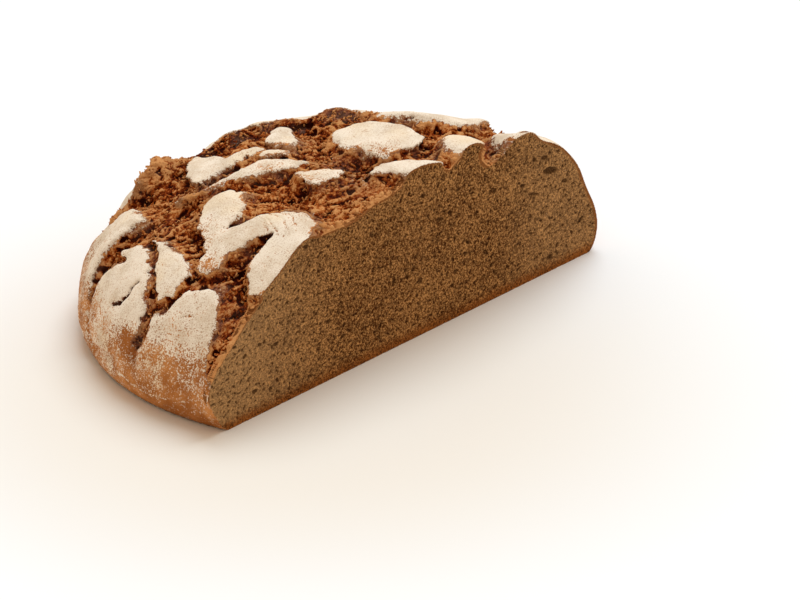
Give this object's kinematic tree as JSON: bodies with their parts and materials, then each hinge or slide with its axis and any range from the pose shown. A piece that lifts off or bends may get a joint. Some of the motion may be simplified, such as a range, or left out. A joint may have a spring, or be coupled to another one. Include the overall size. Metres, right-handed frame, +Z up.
{
  "type": "half rye bread loaf",
  "caption": "Larger piece of a round rye loaf, cut open, with a torn, floured crust, an open crumb face and a flat base.",
  "frame": {"origin": "centre of the bounding box's bottom face, on the surface the loaf stands on", "axes": "+Z up through the crown, +X along the cut face, the cut face looks along -Y"},
  "size_m": [0.2848, 0.164, 0.0877],
  "materials": {
    "crust": "baked brown crust dusted with pale flour, matte",
    "crumb": "cut grey-brown crumb with fine pores, matte and slightly moist"
  },
  "bodies": {
    "root": {"half_loaf": "crust"}
  },
  "joints": []
}
